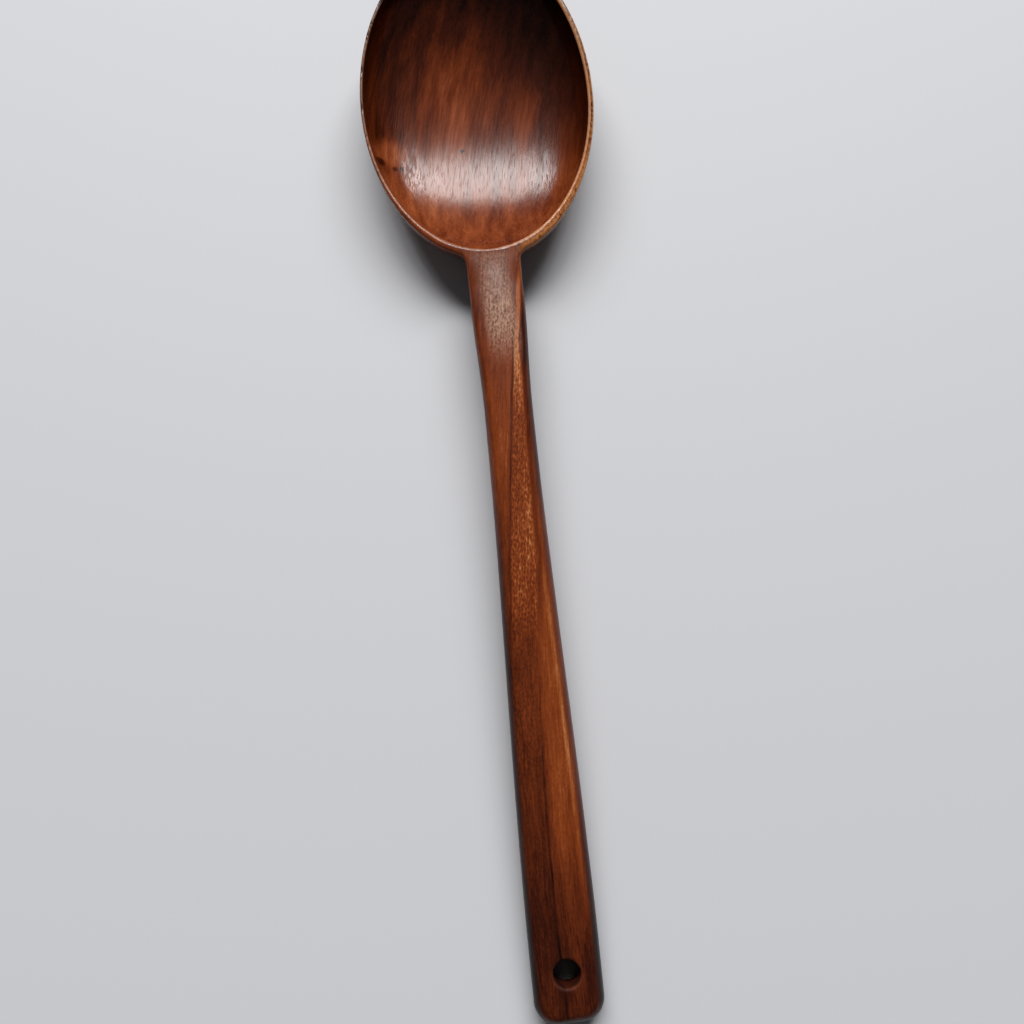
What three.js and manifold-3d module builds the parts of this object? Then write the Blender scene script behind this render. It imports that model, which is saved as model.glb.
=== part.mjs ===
// A wooden spoon carved from one length of dark red-brown hardwood: an oval bowl, a neck and a long
// flat-topped handle with a hole to hang it by.
//
// Millimetres. +Y runs from the handle's end to the bowl's tip, +X is to the right and +Z is up. The spoon
// lies as it does on a table, hollow upwards, and the table is at Z = 0.
import * as THREE from "three";
import { mergeVertices } from "three/addons/utils/BufferGeometryUtils.js";
import Module from "manifold-3d";

// Bowl, measured square to its rim.
const BOWL_WIDTH = 72.3;
const BOWL_BACK = 51; // widest line to the neck end of the rim
const BOWL_FRONT = 53; // widest line to the tip
const BOWL_DEPTH = 21; // rim to underside
const BOWL_TILT = THREE.MathUtils.degToRad(3); // the tip stands higher than the neck
const BOWL_FULLNESS = 2.9; // across the bowl: 2 is an ellipse, higher is flatter below

// Hollow, given by the wood left around it.
const FLOOR_THICKNESS = 5;
const RIM_SIDE = 1.3;
const RIM_TIP = 1.5;
const RIM_NECK = 3;
const HOLLOW_OFFSET = -0.4; // carved a little to the left, so the right rim is the thicker one
const RIM_OUTER_ROUND = 0.7;
const RIM_INNER_ROUND = 0.35;

// Handle. Places along it are measured from its end.
const HANDLE_LENGTH = 226; // end to the outside of the rim at the neck
const GRIP_WIDTH = 20.5;
const GRIP_AT = 20;
const WAIST_WIDTH = 14.7;
const WAIST_AT = 180;
const NECK_WIDTH = 16.6;
const NECK_AT = 213;
const END_THICKNESS = 10.2;
const NECK_THICKNESS = 12.5;
const END_CORNER = 6.5; // radius of the end's corners, seen from above
const END_EDGE = 3; // radius of the end's upper and lower edges
const TOP_EDGE = 4; // radius of the long upper edges
const TOP_CROWN = 1.2; // how far the top falls from its middle to its sides
const BOTTOM_EDGE = 4.4; // radius of the long lower edges

// Neck, where the handle runs into the bowl.
const NECK_SIDE_FILLET = 2.2; // radius, seen from above
const NECK_UNDER_BLEND = 6; // height over which the underside bends into the bowl's wall
const NECK_TOP_EDGE = 1.2; // the upper edges sharpen towards the rim
const NECK_EDGE_BLEND = 80; // length over which they do
const NECK_BOTTOM_EDGE = 9; // the lower edges soften into the bowl's underside
const NECK_BLEND = 9; // length over which they do, and the top's crown flattens
const NECK_DIP = THREE.MathUtils.degToRad(5); // the handle's top runs down into the bowl
const NECK_DIP_POWER = 4; // higher keeps the dip nearer to the neck
const ROOT_REACH = 20; // how far the handle's root reaches past the rim's outside
const ROOT_INSET = 0.4; // and how deep it then lies in the bowl's wood

// Hanging hole.
const HOLE_DIAMETER = 8;
const HOLE_FROM_END = 14.5;

// Sanded off the underside, so that the spoon stands on two small flats.
const REST_CUT = 0.4; // under the bowl
const END_CUT = 0.7; // under the handle's end

// How finely the curves are divided.
const BOWL_SEGMENTS = 72;
const BOWL_RINGS = 14;
const ROUND_RINGS = 3;
const CORNER_SEGMENTS = 6;
const CROWN_SEGMENTS = 6;
const END_STEPS = 6;
const HANDLE_STEP = 7;
const NECK_STEP = 1;
const HOLE_SEGMENTS = 32;
const WELD = 1e-4; // points closer than this are one point
const CORNER_LIMIT = 0.49; // the largest share of a side that a rounded corner takes

const wasm = await Module();
wasm.setup();

// How far a quarter round stands back from its flat, at a distance in from the edge.
function roundBack(radius, inset) {
  const across = Math.max(radius - inset, 0);
  return radius - Math.sqrt(Math.max(radius * radius - across * across, 0));
}

// The lower of two heights, with the bend between them rounded off.
function smoothLower(one, other, blend) {
  const nearness = Math.max(blend - Math.abs(one - other), 0) / blend;
  return Math.min(one, other) - (nearness * nearness * blend) / 4;
}

// The bowl's curve is an ellipse along the bowl and a fuller one across it. This is how far it reaches along
// the bowl, as a share of the whole, at shares of its half width and of its depth.
function bowlReach(across, drop) {
  const section = (across ** BOWL_FULLNESS + drop ** BOWL_FULLNESS) ** (1 / BOWL_FULLNESS);
  return Math.sqrt(Math.max(1 - section * section, 0));
}

// Skins a stack of closed loops of equal length, and closes each end with a fan around a hub.
function skin(loops, firstHub, lastHub) {
  const count = loops[0].length;
  const points = [...loops.flat(), firstHub, lastHub];
  const faces = [];
  for (let row = 0; row + 1 < loops.length; row++) {
    for (let i = 0; i < count; i++) {
      const here = row * count + i;
      const next = row * count + ((i + 1) % count);
      faces.push(here, next, here + count);
      faces.push(next, next + count, here + count);
    }
  }
  const lastRow = (loops.length - 1) * count;
  const hub = loops.length * count;
  for (let i = 0; i < count; i++) {
    const next = (i + 1) % count;
    faces.push(hub, next, i);
    faces.push(hub + 1, lastRow + i, lastRow + next);
  }
  const geometry = new THREE.BufferGeometry().setFromPoints(points);
  geometry.setIndex(faces);
  return geometry;
}

function toSolid(geometry) {
  const bare = geometry.clone();
  bare.deleteAttribute("normal");
  bare.deleteAttribute("uv");
  const welded = mergeVertices(bare, WELD);
  const mesh = new wasm.Mesh({
    numProp: 3,
    vertProperties: new Float32Array(welded.attributes.position.array),
    triVerts: new Uint32Array(welded.index.array),
  });
  return new wasm.Manifold(mesh);
}

function toGeometry(solid) {
  const mesh = solid.getMesh();
  const geometry = new THREE.BufferGeometry();
  geometry.setAttribute("position", new THREE.Float32BufferAttribute(mesh.vertProperties, 3));
  geometry.setIndex(Array.from(mesh.triVerts));
  geometry.computeVertexNormals();
  return geometry;
}

// One level of a bowl, seen from above: two half ovals that share the bowl's widest line.
function oval({ halfWidth, back, front }, drop, grow, height) {
  const widest = (1 - drop ** BOWL_FULLNESS) ** (1 / BOWL_FULLNESS);
  const loop = [];
  for (let i = 0; i < BOWL_SEGMENTS; i++) {
    const angle = (2 * Math.PI * i) / BOWL_SEGMENTS;
    const across = widest * Math.cos(angle);
    const along = Math.sign(Math.sin(angle)) * bowlReach(Math.abs(across), drop);
    const reach = along < 0 ? back : front;
    const x = halfWidth * across + grow * Math.cos(angle);
    const y = reach * along + grow * Math.sin(angle);
    loop.push(new THREE.Vector3(x, y, height));
  }
  return loop;
}

// The levels of a bowl from the lowest up: the bowl's curve, then a quarter round at the rim that turns
// inwards (lean -1) or outwards (lean 1). The rim is at height 0.
function bowlLevels(plan, depth, rimRound, lean) {
  const levels = [];
  for (let ring = BOWL_RINGS - 1; ring >= 0; ring--) {
    const drop = Math.sin((Math.PI / 2) * (ring / BOWL_RINGS));
    levels.push(oval(plan, drop, 0, -rimRound - drop * (depth - rimRound)));
  }
  for (let ring = 1; ring <= ROUND_RINGS; ring++) {
    const angle = (Math.PI / 2) * (ring / ROUND_RINGS);
    const grow = lean * rimRound * (1 - Math.cos(angle));
    levels.push(oval(plan, 0, grow, rimRound * (Math.sin(angle) - 1)));
  }
  return levels;
}

// The outside of the bowl, solid right through.
function bowlBlank() {
  const plan = { halfWidth: BOWL_WIDTH / 2, back: BOWL_BACK, front: BOWL_FRONT };
  const levels = bowlLevels(plan, BOWL_DEPTH, RIM_OUTER_ROUND, -1);
  return skin(levels, new THREE.Vector3(0, 0, -BOWL_DEPTH), new THREE.Vector3(0, 0, 0));
}

// The wood carved out of the bowl, and the air above it.
function hollow() {
  const plan = {
    halfWidth: BOWL_WIDTH / 2 - RIM_SIDE,
    back: BOWL_BACK - RIM_NECK,
    front: BOWL_FRONT - RIM_TIP,
  };
  const depth = BOWL_DEPTH - FLOOR_THICKNESS;
  const levels = bowlLevels(plan, depth, RIM_INNER_ROUND, 1);
  levels.push(oval(plan, 0, RIM_INNER_ROUND, BOWL_DEPTH));
  const air = skin(levels, new THREE.Vector3(0, 0, -depth), new THREE.Vector3(0, 0, BOWL_DEPTH));
  return air.translate(HOLLOW_OFFSET, 0, 0);
}

// Half the handle's width: widest at the grip and narrowest at the waist.
function sideAt(place) {
  const toWaist = THREE.MathUtils.smoothstep(place, GRIP_AT, WAIST_AT);
  const toNeck = THREE.MathUtils.smoothstep(place, WAIST_AT, NECK_AT);
  return (GRIP_WIDTH + (WAIST_WIDTH - GRIP_WIDTH) * toWaist + (NECK_WIDTH - WAIST_WIDTH) * toNeck) / 2;
}

// Where the side fillet ends on the bowl's wall, at a depth below the rim.
function sideFilletEnd(depth) {
  const drop = THREE.MathUtils.clamp((depth - RIM_OUTER_ROUND) / (BOWL_DEPTH - RIM_OUTER_ROUND), 0, 1);
  const across = (NECK_WIDTH / 2 + NECK_SIDE_FILLET) / (BOWL_WIDTH / 2);
  return HANDLE_LENGTH + BOWL_BACK * (1 - bowlReach(across, drop));
}

// The rim's plane, carried on over the handle.
function rimAt(place, neckTop) {
  return neckTop + (place - HANDLE_LENGTH) * Math.tan(BOWL_TILT);
}

// The underside of the bowl along its middle line.
function wallAt(place, neckTop) {
  const along = THREE.MathUtils.clamp((HANDLE_LENGTH + BOWL_BACK - place) / BOWL_BACK, 0, 1);
  const drop = Math.sqrt(1 - along * along);
  return rimAt(place, neckTop) - RIM_OUTER_ROUND - drop * (BOWL_DEPTH - RIM_OUTER_ROUND);
}

// The handle's upper line climbs from the end in an arch, dips at the neck, then follows the rim.
function topAt(place, neckTop) {
  if (place > HANDLE_LENGTH) {
    return rimAt(place, neckTop);
  }
  const endTop = END_THICKNESS - END_CUT;
  const share = place / HANDLE_LENGTH;
  const left = 1 - share;
  const dip = HANDLE_LENGTH * Math.tan(NECK_DIP) * left * share ** NECK_DIP_POWER;
  return endTop + (neckTop - endTop) * (1 - left * left) + dip;
}

// Its lower line thickens towards the neck, then bends into the bowl's wall.
function bottomAt(place, neckTop) {
  const share = Math.min(place / HANDLE_LENGTH, 1);
  const thickness = END_THICKNESS + (NECK_THICKNESS - END_THICKNESS) * share * share;
  const straight = topAt(place, neckTop) - thickness;
  return smoothLower(straight, wallAt(place, neckTop) + ROOT_INSET, NECK_UNDER_BLEND);
}

// A cross-section of the handle: a rectangle with rounded corners and a crowned top, which spreads into the
// bowl's wall. The end is rounded off, seen from above and from the side.
function section(place, neckTop) {
  const halfWidth = sideAt(place) - roundBack(END_CORNER, place);
  const endRound = roundBack(END_EDGE, place);
  const top = topAt(place, neckTop) - endRound;
  const bottom = bottomAt(place, neckTop) + endRound;
  const sharpening = THREE.MathUtils.smoothstep(place, HANDLE_LENGTH - NECK_EDGE_BLEND, HANDLE_LENGTH);
  const towardsBowl = THREE.MathUtils.smoothstep(place, HANDLE_LENGTH - NECK_BLEND, HANDLE_LENGTH);
  const crown = TOP_CROWN * (1 - towardsBowl);
  const crownFall = (x) => crown * (x / sideAt(place)) ** 2;
  const sideHeight = top - crownFall(halfWidth) - bottom;
  const largest = CORNER_LIMIT * Math.min(2 * halfWidth, sideHeight);
  const upper = Math.min(THREE.MathUtils.lerp(TOP_EDGE, NECK_TOP_EDGE, sharpening), largest);
  const lower = Math.min(THREE.MathUtils.lerp(BOTTOM_EDGE, NECK_BOTTOM_EDGE, towardsBowl), largest);

  const loop = [];
  function addPoint(x, height) {
    const filletEnd = sideFilletEnd(rimAt(place, neckTop) - height);
    const spread = 1 + roundBack(NECK_SIDE_FILLET, filletEnd - place) / halfWidth;
    loop.push(new THREE.Vector3(spread * x, place, height));
  }
  function addCorner(side, radius, height, firstAngle, fall) {
    for (let i = 0; i <= CORNER_SEGMENTS; i++) {
      const angle = firstAngle - (Math.PI / 2) * (i / CORNER_SEGMENTS);
      const x = side * (halfWidth - radius) + radius * Math.cos(angle);
      addPoint(x, height + radius * Math.sin(angle) - fall(x));
    }
  }
  const noFall = () => 0;
  addCorner(1, upper, top - upper, Math.PI / 2, crownFall);
  addCorner(1, lower, bottom + lower, 0, noFall);
  addCorner(-1, lower, bottom + lower, -Math.PI / 2, noFall);
  addCorner(-1, upper, top - upper, -Math.PI, crownFall);
  for (let i = 1; i < CROWN_SEGMENTS; i++) {
    const x = THREE.MathUtils.lerp(upper - halfWidth, halfWidth - upper, i / CROWN_SEGMENTS);
    addPoint(x, top - crownFall(x));
  }
  return loop;
}

// Places of the handle's cross-sections: close together at the rounded end and at the neck.
function sectionPlaces() {
  const places = [];
  for (let i = 0; i < END_STEPS; i++) {
    places.push(END_CORNER * (1 - Math.cos((Math.PI / 2) * (i / END_STEPS))));
  }
  const neckStart = HANDLE_LENGTH - NECK_SIDE_FILLET;
  const longSteps = Math.ceil((neckStart - END_CORNER) / HANDLE_STEP);
  for (let i = 0; i < longSteps; i++) {
    places.push(THREE.MathUtils.lerp(END_CORNER, neckStart, i / longSteps));
  }
  const root = HANDLE_LENGTH + ROOT_REACH;
  const neckSteps = Math.ceil((root - neckStart) / NECK_STEP);
  for (let i = 0; i <= neckSteps; i++) {
    places.push(THREE.MathUtils.lerp(neckStart, root, i / neckSteps));
  }
  return places;
}

function middleOf(loop) {
  const middle = new THREE.Vector3();
  loop.forEach((point) => middle.addScaledVector(point, 1 / loop.length));
  return middle;
}

function handle(neckTop) {
  const loops = sectionPlaces().map((place) => section(place, neckTop));
  return skin(loops, middleOf(loops[0]), middleOf(loops.at(-1)));
}

// Tilt the bowl, set its widest line so that the neck end of the rim meets the handle, and let its underside
// reach just below the table.
const blank = bowlBlank().rotateX(BOWL_TILT);
blank.computeBoundingBox();
const widestAt = HANDLE_LENGTH + BOWL_BACK * Math.cos(BOWL_TILT);
const rimHeight = -REST_CUT - blank.boundingBox.min.z;
blank.translate(0, widestAt, rimHeight);
const carved = hollow().rotateX(BOWL_TILT).translate(0, widestAt, rimHeight);

const neckTop = rimHeight - BOWL_BACK * Math.sin(BOWL_TILT);
const overallLength = widestAt + BOWL_FRONT;

// The drill goes well past both faces.
const drillLength = 2 * overallLength;
const hole = new THREE.CylinderGeometry(HOLE_DIAMETER / 2, HOLE_DIAMETER / 2, drillLength, HOLE_SEGMENTS);
hole.rotateX(Math.PI / 2).translate(0, HOLE_FROM_END, 0);

const belowTable = new THREE.BoxGeometry(2 * BOWL_WIDTH, 2 * overallLength, BOWL_DEPTH);
belowTable.translate(0, overallLength / 2, -BOWL_DEPTH / 2);

const solid = toSolid(blank)
  .add(toSolid(handle(neckTop)))
  .subtract(toSolid(carved))
  .subtract(toSolid(hole))
  .subtract(toSolid(belowTable));

// The origin goes under the middle of the spoon.
const geometry = toGeometry(solid);
geometry.computeBoundingBox();
const middle = geometry.boundingBox.getCenter(new THREE.Vector3());
geometry.translate(-middle.x, -middle.y, 0);

const wood = new THREE.MeshStandardMaterial({ color: 0x5e2a17, roughness: 0.4, metalness: 0 });
const carvedSpoon = new THREE.Mesh(geometry, wood);
carvedSpoon.name = "carved_spoon";

const spoon = new THREE.Group();
spoon.name = "wooden_spoon";
spoon.add(carvedSpoon);

export default spoon;
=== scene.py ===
# %% [markdown]
# # A carved wooden spoon
#
# This spoon is one length of dark red-brown hardwood: an oval bowl, a neck, and a long handle that is
# flat on top, with a hole to hang it by. A carver saws the outline, rounds the blank and hollows the bowl
# last. The lesson goes the same way. The measured model is loaded first, because it says where the spoon
# lies and how large it is, and the spoon that is built here has to fill the same place.

# %% Load the measured model
import math

import bpy
from mathutils import Matrix, Vector


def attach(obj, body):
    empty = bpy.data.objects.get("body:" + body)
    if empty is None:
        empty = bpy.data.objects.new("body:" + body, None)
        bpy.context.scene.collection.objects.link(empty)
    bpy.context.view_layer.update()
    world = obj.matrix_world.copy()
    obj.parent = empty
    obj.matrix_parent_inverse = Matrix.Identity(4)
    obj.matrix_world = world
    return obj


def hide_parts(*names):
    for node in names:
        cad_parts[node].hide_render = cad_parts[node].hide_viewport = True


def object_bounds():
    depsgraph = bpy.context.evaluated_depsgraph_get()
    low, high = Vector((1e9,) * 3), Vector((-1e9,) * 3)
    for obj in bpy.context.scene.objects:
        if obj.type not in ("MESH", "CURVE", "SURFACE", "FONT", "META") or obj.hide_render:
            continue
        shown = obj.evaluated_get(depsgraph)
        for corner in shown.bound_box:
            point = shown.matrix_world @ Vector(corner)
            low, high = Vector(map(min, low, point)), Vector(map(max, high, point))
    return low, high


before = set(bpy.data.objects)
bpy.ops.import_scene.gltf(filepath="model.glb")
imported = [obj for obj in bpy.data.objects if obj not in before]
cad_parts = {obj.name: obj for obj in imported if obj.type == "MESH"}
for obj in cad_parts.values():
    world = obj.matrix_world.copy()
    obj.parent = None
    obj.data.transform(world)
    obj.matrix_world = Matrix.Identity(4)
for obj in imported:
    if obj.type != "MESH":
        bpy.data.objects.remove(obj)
cad_low, cad_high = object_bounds()
MM = 0.001
LENGTH = (cad_high.y - cad_low.y) / MM
WIDTH = (cad_high.x - cad_low.x) / MM
END_OF_HANDLE = cad_low.y / MM
print(f"measured model: {LENGTH:.1f} mm long and {WIDTH:.1f} mm wide, nodes {sorted(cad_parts)}")

# %% [markdown]
# ## Node trees as Python
#
# The shape of the spoon and the figure of its wood are both long sums. In the node editor every plus and
# minus is a Math node with its links, and such a tree is hard to read. Here a small class wraps a socket,
# so that ordinary arithmetic on it adds the Math nodes.

# %% A socket that does arithmetic
def find(sockets, key):
    """A socket by its number, identifier or name."""
    if isinstance(key, int):
        return sockets[key]
    return next(s for s in sockets if key in (s.identifier, s.name))


class Socket:
    """A node's output. An expression on it adds Math nodes to its tree."""

    def __init__(self, tree, link):
        self.tree = tree
        self.link = link

    def other(self, key):
        """Another output of the same node."""
        return Socket(self.tree, find(self.link.node.outputs, key))

    def __add__(self, value):
        return self.tree.math("ADD", self, value)

    def __sub__(self, value):
        return self.tree.math("SUBTRACT", self, value)

    def __rsub__(self, value):
        return self.tree.math("SUBTRACT", value, self)

    def __mul__(self, value):
        return self.tree.math("MULTIPLY", self, value)

    def __truediv__(self, value):
        return self.tree.math("DIVIDE", self, value)

    def __rtruediv__(self, value):
        return self.tree.math("DIVIDE", value, self)

    def __pow__(self, value):
        return self.tree.math("POWER", self, value)

    def __neg__(self):
        return self.tree.math("MULTIPLY", self, -1)

    def __abs__(self):
        return self.tree.math("ABSOLUTE", self)

    __radd__ = __add__
    __rmul__ = __mul__


print("sockets can be added, multiplied and raised to powers like numbers")

# %% [markdown]
# ## A tree that grows nodes
#
# Any other node comes from one method, which sets the node's own settings first, because they can change
# its sockets, and then fills the sockets with values or links. A few forms are used so often that they
# get a name: the smaller of two values, the long side of a right triangle, and a soft step from 0 to 1.

# %% A tree that grows nodes
class Tree:
    """A node tree that is written as Python."""

    def __init__(self, node_tree):
        self.node_tree = node_tree

    def add(self, kind, settings=None, sockets=None, output=0):
        """Adds a node: its settings first, then the values or links of its sockets."""
        node = self.node_tree.nodes.new(kind)
        for name, value in (settings or {}).items():
            if name == "stops":
                self.set_stops(node.color_ramp.elements, value)
            else:
                setattr(node, name, value)
        for key, value in (sockets or {}).items():
            if isinstance(value, Socket):
                self.node_tree.links.new(value.link, find(node.inputs, key))
            else:
                find(node.inputs, key).default_value = value
        return Socket(self, find(node.outputs, output)) if node.outputs else None

    def set_stops(self, elements, stops):
        """Gives a colour ramp its places and colours."""
        while len(elements) < len(stops):
            elements.new(1.0)
        for element, (place, colour) in zip(elements, stops):
            element.position = place
            element.color = (*colour, 1.0)

    def math(self, operation, *values):
        return self.add("ShaderNodeMath", {"operation": operation}, dict(enumerate(values)))

    def smallest(self, one, other):
        return self.math("MINIMUM", one, other)

    def largest(self, one, other):
        return self.math("MAXIMUM", one, other)

    def hypotenuse(self, one, other):
        return self.math("SQRT", one * one + other * other)

    def rise(self, value, start, stop):
        """0 before start, 1 after stop, and an S curve between them."""
        settings = {"interpolation_type": "SMOOTHSTEP"}
        sockets = {"Value": value, "From Min": start, "From Max": stop}
        return self.add("ShaderNodeMapRange", settings, sockets)

    def between(self, value, start, stop, soft):
        """1 between start and stop and 0 outside, with soft ends."""
        before_stop = 1 - self.rise(value, stop - soft, stop + soft)
        return self.rise(value, start - soft, start + soft) * before_stop

    def vector(self, x, y, z):
        return self.add("ShaderNodeCombineXYZ", sockets={"X": x, "Y": y, "Z": z})

    def vector_math(self, operation, one, other):
        second = "Scale" if operation == "SCALE" else 1
        return self.add("ShaderNodeVectorMath", {"operation": operation}, {0: one, second: other})


print("node trees can now be written as expressions")

# %% [markdown]
# ## The sizes that a carver would mark out
#
# A spoon has few sizes: how wide and deep the bowl is, how much wood is left around the hollow, and how the
# handle swells and narrows. They are named once, in millimetres, and become the named inputs of the
# Geometry Nodes tree. The overall width and height come from the measured model.

# %% Sizes of the spoon, in millimetres
BOWL_FRONT = 53.0
BOWL_TILT = math.radians(3)
SIZES = {
    "Bowl width": WIDTH,
    "Bowl back": 51.0,
    "Bowl front": BOWL_FRONT,
    "Bowl depth": 21.0,
    "Bowl fullness": 2.9,
    "Bowl tilt": BOWL_TILT,
    "Rim height": cad_high.z / MM - BOWL_FRONT * math.sin(BOWL_TILT),
    "Rim round": 0.7,
    "Lip round": 0.35,
    "Side rim": 1.3,
    "Tip rim": 1.5,
    "Neck rim": 3.0,
    "Floor thickness": 5.0,
    "Hollow offset": -0.4,
    "Handle length": 226.0,
    "Grip width": 20.5,
    "Waist width": 14.7,
    "Neck width": 16.6,
    "End thickness": 10.2,
    "Neck thickness": 12.5,
    "End corner": 6.5,
    "Left upper edge": 3.6,
    "Right upper edge": 4.4,
    "Neck upper edge": 1.2,
    "Lower edge": 4.4,
    "Neck fillet": 2.2,
    "Neck dip": math.radians(5),
    "Crown": 1.2,
    "Hole diameter": 8.0,
    "Hole from end": 14.5,
    "Hole edge": 0.3,
    "Sanding": 0.16,
    "Seed": 4.0,
}
print(f"{len(SIZES)} named sizes")

# %% [markdown]
# ## The spoon as a field
#
# A carved spoon has no seams: the handle swells into the bowl, and every edge is rubbed round. Modelling
# that face by face means a careful mesh around the neck. A field is nearer to carving. For any point it
# gives the distance to the wood's surface, negative inside. Two shapes join where the smaller distance
# rules, and cut each other where the larger one does, and a rounded corner is one more square root.

# %% Rounded cuts and joins, and the wall of a bowl
TINY = 1e-6


def rounded_cut(tree, one, other, radius):
    """What lies inside both shapes, with the edge between them rubbed to a radius."""
    past_one = tree.largest(one + radius, 0)
    past_other = tree.largest(other + radius, 0)
    inside = tree.smallest(tree.largest(one, other), -radius)
    return inside + tree.hypotenuse(past_one, past_other)


def rounded_join(tree, one, other, radius):
    """What lies inside either shape, with a fillet between them."""
    return -rounded_cut(tree, -one, -other, radius)


def bowl_wall(tree, point, plan, depth, lip, fullness):
    """Distance to a bowl: an oval seen from above and along its length, and a fuller curve across."""
    across, along, height = point
    half_width, back, front = plan
    reach = back + (front - back) * tree.math("GREATER_THAN", along, 0)
    width_share = abs(across) / half_width
    depth_share = tree.largest(-height - lip, 0) / (depth - lip)
    length_share = along / reach
    section = (width_share**fullness + depth_share**fullness) ** (1 / fullness) + TINY
    curve = tree.hypotenuse(section, length_share) + TINY
    steep = (width_share / section) ** (fullness - 1) * section / half_width
    flat = (depth_share / section) ** (fullness - 1) * section / (depth - lip)
    slope = tree.hypotenuse(tree.hypotenuse(steep, flat), length_share / reach) / curve
    return (curve - 1) / slope


print("rounded cuts, rounded joins and bowls are ready")

# %% [markdown]
# ## How the handle swells and arches
#
# Seen from above, the handle is widest at the grip and narrowest at the waist, a little before the bowl.
# Seen from the side, its top is one long arch that comes down slightly to the neck. Both lines could be
# drawn by hand as curves. Two short formulas of the marked sizes do the same, and they follow when a size
# is changed.

# %% Width and top of the handle
GRIP_AT = 20.0
WAIST_AT = 180.0
NECK_AT = 213.0
END_CUT = 0.7
DIP_POWER = 4
NECK_VALLEY = 0.6


def handle_half_width(tree, size, place):
    """Half the handle's width: widest at the grip, narrowest at the waist."""
    to_waist = tree.rise(place, GRIP_AT, WAIST_AT)
    to_neck = tree.rise(place, WAIST_AT, NECK_AT)
    width = size["Grip width"] + (size["Waist width"] - size["Grip width"]) * to_waist
    return (width + (size["Neck width"] - size["Waist width"]) * to_neck) / 2


def top_height(tree, size, place):
    """The upper surface along the spoon: the handle's arch, a soft valley at the neck, then the rim."""
    neck_top = size["Rim height"] - size["Bowl back"] * tree.math("SINE", size["Bowl tilt"])
    end_top = size["End thickness"] - END_CUT
    share = place / size["Handle length"]
    left = 1 - share
    dip = tree.math("TANGENT", size["Neck dip"]) * size["Handle length"] * left * share**DIP_POWER
    handle = end_top + (neck_top - end_top) * (1 - left * left) + dip
    rim = neck_top + (place - size["Handle length"]) * tree.math("TANGENT", size["Bowl tilt"])
    nearness = tree.largest(NECK_VALLEY - abs(handle - rim), 0)
    return tree.largest(handle, rim) + nearness * nearness / (4 * NECK_VALLEY)


print(f"the grip lies {GRIP_AT:.0f} mm from the handle's end, the waist {WAIST_AT:.0f} mm")

# %% [markdown]
# ## Blank, hollow and hole
#
# The field follows the order of the work. The bowl's outside and the handle's shaft join with a fillet,
# which is the neck. One top surface planes them both: it arches along the handle and then follows the
# tilted rim. Then come the hollow, the hanging hole, and the strip of sandpaper on the table that leaves
# two small flats underneath. A slow noise a tenth of a millimetre high stands for the unevenness of
# sanding by hand.

# %% The field of the spoon, as a node group
NECK_BLEND = 9.0
EDGE_BLEND = 80.0
SIDE_BLEND = 4.0
SANDING_WAVE = 30.0
NOISE_MIDDLE = 0.5


def open_group(name, inputs, outputs):
    """A Geometry Nodes group with named sockets, and its inputs, ready for arithmetic."""
    group = bpy.data.node_groups.new(name, "GeometryNodeTree")
    for in_out, sockets in (("INPUT", inputs), ("OUTPUT", outputs)):
        for socket_name, kind in sockets.items():
            group.interface.new_socket(socket_name, in_out=in_out, socket_type="NodeSocket" + kind)
    tree = Tree(group)
    entry = tree.add("NodeGroupInput")
    return tree, {socket_name: entry.other(socket_name) for socket_name in inputs}


def upper_edge(tree, size, x, place, to_neck):
    """How round the edge beside the top is: more on the right, less at the neck, least at the rim."""
    to_right = tree.rise(x, -SIDE_BLEND, SIDE_BLEND)
    edge = size["Left upper edge"] + (size["Right upper edge"] - size["Left upper edge"]) * to_right
    sharpening = tree.rise(place, size["Handle length"] - EDGE_BLEND, size["Handle length"])
    edge = edge + (size["Neck upper edge"] - edge) * sharpening
    return edge + (size["Rim round"] - edge) * to_neck


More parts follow.
